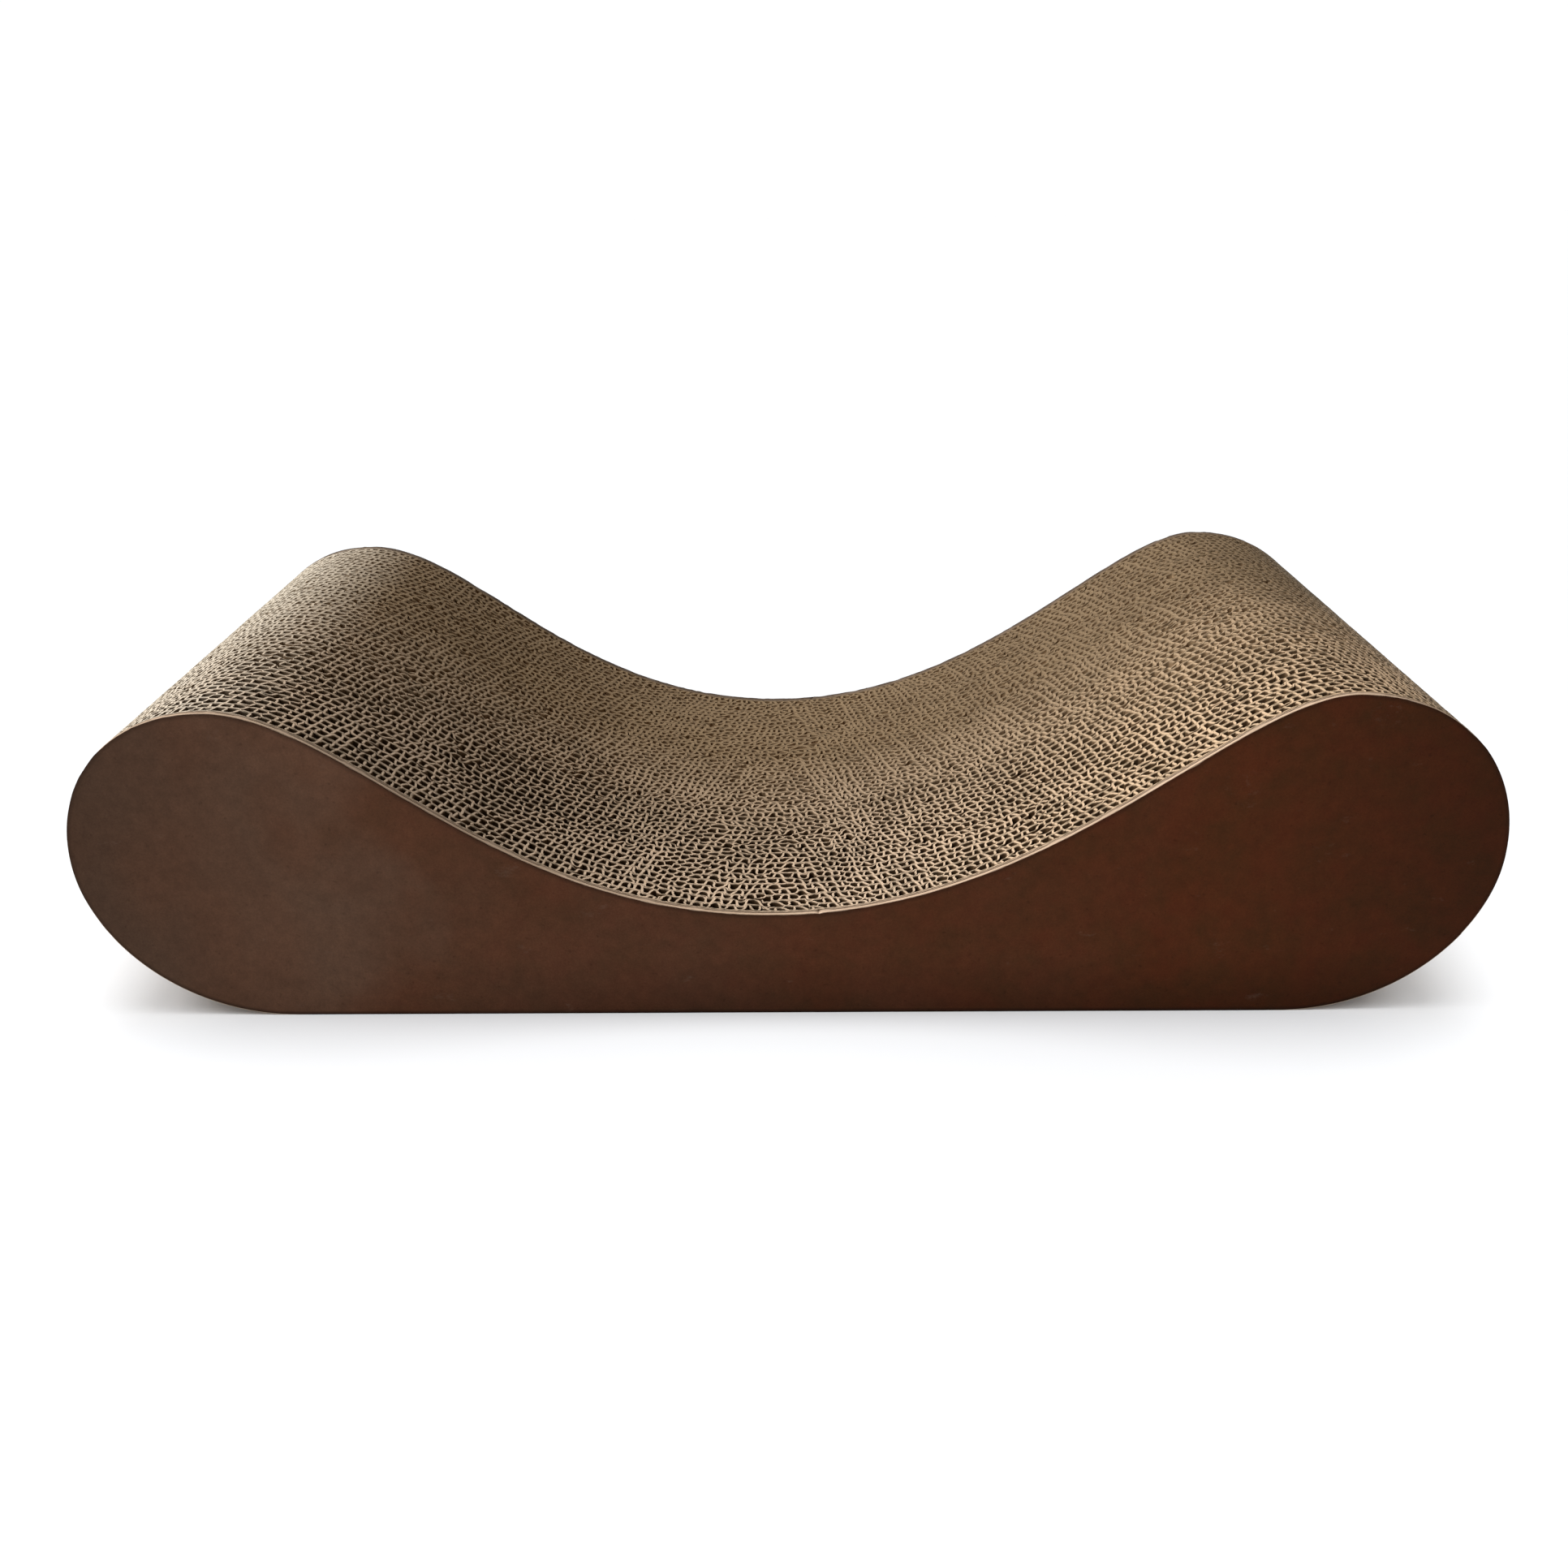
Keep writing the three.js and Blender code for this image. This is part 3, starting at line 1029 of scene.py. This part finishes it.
def paper_material():
    """Dark brown face paper: cloudy ink with a painted reflection over one end, painted shade at the floor
    and at both ends, a dark edge that is painted contact shadow at the floor, and pale scuffs.
    """
    s = Shader("face_paper")
    x, _, z = s.axes()
    cloud = s.noise(size=70 * MM, detail=3)
    grey = s.noise(size=60 * MM, stretch=(1, 1, 0.6))
    patch = s.noise(size=22 * MM, detail=4, rough=0.6)
    mottle = s.noise(size=5 * MM, detail=4, rough=0.6)
    grain = s.noise(size=0.8 * MM, detail=3)
    speck = s.noise(size=2.2 * MM, detail=1)
    flaw = s.noise(size=9 * MM, detail=5, stretch=(0.5, 1, 1), rough=0.7)
    scratch = s.noise(size=2 * MM, detail=4, stretch=(0.6, 1, 0.8), rough=0.7)
    ink = s.mix(s.spread(patch, *INK_PATCHES), BROWN_OLIVE, BROWN_RED)
    ink = s.mix(s.spread(mottle, *INK_MOTTLE, 0, INK_MOTTLE_SHARE), ink, BROWN)
    # painted reflection over the left end, with a ragged border
    left = s.maths("ADD", x, s.spread(cloud, *NOISE_USUAL, -REFLECTION_CLOUD, REFLECTION_CLOUD))
    slow = s.spread(left, *REFLECTION_SLOW, 0, REFLECTION_HALF)
    fast = s.spread(left, *REFLECTION_FAST, 0, REFLECTION_HALF)
    reflection = s.maths("ADD", slow, fast)
    ink = s.mix(reflection, ink, s.mix(s.spread(grey, *REFLECTION_PATCHES), REFLECTION_GREY, REFLECTION))
    # painted shadow along the floor, weaker at the left end
    foot = s.spread(z, 0, FOOT_SHADE_HEIGHT, FOOT_SHADE, 0)
    foot = s.maths("MULTIPLY", foot, s.spread(x, *FOOT_SHADE_FROM, FOOT_SHADE_LEFT, 1))
    # tone of the ink, darkened by painted shade at the floor and at both ends
    tone = s.maths(
        "MULTIPLY",
        s.spread(mottle, *NOISE_MOST, *MOTTLE_TONES),
        s.spread(patch, *NOISE_USUAL, *PATCH_TONES),
        s.spread(grain, *NOISE_MOST, *GRAIN_TONES),
        s.spread(speck, *SPECK_FROM, 1, SPECK_TONE),
        s.maths("SUBTRACT", 1.0, foot),
        s.spread(x, *END_SHADE_FROM, 1, END_SHADE),
        s.spread(x, *LEFT_SHADE_FROM, LEFT_SHADE, 1),
    )
    ink = s.toned(ink, tone)
    ink = s.mix(s.spread(flaw, *FLAW_FROM, 0, SCUFF_SHARE), ink, SCUFF)
    scratches = s.spread(scratch, *SCRATCH_FROM, 0, SCUFF_SHARE)
    for spot_x, spot_z in SCRATCHED:
        ends = {0: s.place(), 1: (spot_x, SCRATCHED_Y, spot_z)}
        distance = s.node("VectorMath", ends, operation="DISTANCE").outputs["Value"]
        near = s.spread(distance, 0, SCRATCHED_REACH, 1, 0)
        ink = s.mix(s.maths("MULTIPLY", near, scratches), ink, SCUFF)
    edge = s.value("edge")
    # dark edge of the paper, painted contact shadow at the floor
    dark_edge_and_shadow = s.maths("MULTIPLY", edge, s.spread(z, *EDGE_HEIGHTS, *EDGE_SHARES))
    colour = s.mix(dark_edge_and_shadow, ink, EDGE_DARK_AND_SHADOW)
    at_end = s.spread(s.maths("ABSOLUTE", x), *RAW_FROM)
    raw = s.maths("MULTIPLY", at_end, s.spread(z, *RAW_UNTIL, 1, 0), s.spread(edge, *RAW_RIM))
    colour = s.mix(raw, colour, RAW_EDGE)
    roughness = s.spread(mottle, *NOISE_USUAL, *PAPER_ROUGHNESS)
    return s.finish(colour, roughness, specular=0.03, height=grain, bump_depth=0.05 * MM, bump_strength=0.3)


# Making the sofa

kraft = kraft_material()
board = board_material()
paper = paper_material()
face_paper("front_paper", "front_face_paper", paper)
panel_board("front_board", "front_panel_board", board, worn=False)
for sheet_number in range(SHEET_COUNT):
    corrugated_sheet(sheet_number, kraft)
panel_board("rear_board", "rear_panel_board", board, worn=True)
face_paper("rear_paper", "rear_face_paper", paper)


# Camera at the photograph's viewing angle

CAMERA_PLACE = (5.5 * MM, -678.5 * MM, 355.8 * MM)
CAMERA_PITCH = math.radians(24.086)
CAMERA_YAW = math.radians(-0.587)
CAMERA_ROLL = math.radians(-0.586)
FOCAL_PIXELS = 1775.4
PICTURE_PIXELS = 1932
SENSOR = 36.0

camera_data = bpy.data.cameras.new("camera")
camera_data.sensor_width = SENSOR
camera_data.lens = SENSOR * FOCAL_PIXELS / PICTURE_PIXELS
camera = bpy.data.objects.new("camera", camera_data)
camera.matrix_world = (
    Matrix.Translation(CAMERA_PLACE)
    @ Matrix.Rotation(-CAMERA_YAW, 4, "Z")
    @ Matrix.Rotation(math.pi / 2 - CAMERA_PITCH, 4, "X")
    @ Matrix.Rotation(CAMERA_ROLL, 4, "Z")
)
bpy.context.scene.collection.objects.link(camera)
bpy.context.scene.camera = camera


# Studio

FLOOR_SIZE = 14.0
FLOOR_COLOUR = (0.88, 0.893, 0.91)
SKY_WHITE = 1.02
FLOOR_LAMPS = (
    # name, azimuth from +X, elevation, strength, angle
    ("floor_dome", 90, 90, 2.15, math.radians(140)),
    ("floor_top", 90, 88, 1.5, math.radians(36)),
)
FLOOR_BOXES = (
    # name, place, place that it is aimed at, power
    ("floor_box_left", (-0.47, -0.19, 0.33), (-0.26, -0.13, 0), 0.38),
    ("floor_box_right", (0.47, -0.19, 0.33), (0.26, -0.13, 0), 0.28),
)
FLOOR_BOX_SIZE = 0.15
LAMP_ANGLE = math.radians(35)
LAMP_DISTANCE = 3
LAMPS = (
    # name, azimuth from +X, elevation, strength
    ("key", 135, 46, 4.0),
    ("fill", 225, 30, 1.2),
    ("side", 180, 15, 0.7),
)


def studio_floor():
    s = Shader("studio_floor")
    s.surface.inputs["Base Color"].default_value = (*FLOOR_COLOUR, 1)
    s.surface.inputs["Roughness"].default_value = 1.0
    s.surface.inputs["Specular IOR Level"].default_value = 0.0
    half = FLOOR_SIZE / 2
    corners = [(-half, -half, 0), (half, -half, 0), (half, half, 0), (-half, half, 0)]
    mesh = bpy.data.meshes.new("studio_floor")
    mesh.from_pydata(corners, [], [(0, 1, 2, 3)])
    mesh.materials.append(s.material)
    made = bpy.data.objects.new("studio_floor", mesh)
    bpy.context.scene.collection.objects.link(made)
    return made


def studio_sky():
    """A white sky for the camera and for reflections, which gives no other light."""
    world = bpy.data.worlds.new("studio_sky")
    world.use_nodes = True
    bpy.context.scene.world = world
    background = world.node_tree.nodes["Background"]
    background.inputs["Color"].default_value = (1, 1, 1, 1)
    background.inputs["Strength"].default_value = SKY_WHITE
    world.cycles_visibility.diffuse = False


def aimed_lamp(data, place, back):
    """A lamp at that place, with its back in that direction."""
    made = bpy.data.objects.new(data.name, data)
    made.location = place
    made.rotation_euler = back.to_track_quat("Z", "Y").to_euler()
    bpy.context.scene.collection.objects.link(made)
    return made


def light(name, azimuth, elevation, strength, angle):
    """A soft lamp, far away in that direction."""
    data = bpy.data.lights.new(name, "SUN")
    data.energy = strength
    data.angle = angle
    turn = math.radians(azimuth)
    rise = math.radians(elevation)
    towards = Vector((math.cos(turn) * math.cos(rise), math.sin(turn) * math.cos(rise), math.sin(rise)))
    return aimed_lamp(data, LAMP_DISTANCE * towards, towards)


def light_box(name, place, aim, power):
    """A small soft box that shines on one end of the floor."""
    data = bpy.data.lights.new(name, "AREA")
    data.energy = power
    data.size = FLOOR_BOX_SIZE
    made = aimed_lamp(data, place, Vector(place) - Vector(aim))
    made.visible_camera = False
    return made


def light_links(lamp, receiver, state):
    """Lets a lamp light only this object, or everything but this object."""
    group = bpy.data.collections.new(lamp.name + "_receivers")
    group.objects.link(receiver)
    group.collection_objects[0].light_linking.link_state = state
    lamp.light_linking.receiver_collection = group


floor = studio_floor()
studio_sky()
for lamp in FLOOR_LAMPS:
    light_links(light(*lamp), floor, "INCLUDE")
for box in FLOOR_BOXES:
    light_links(light_box(*box), floor, "INCLUDE")
for lamp in LAMPS:
    light_links(light(*lamp, LAMP_ANGLE), floor, "EXCLUDE")
bpy.context.scene.view_settings.view_transform = "Standard"
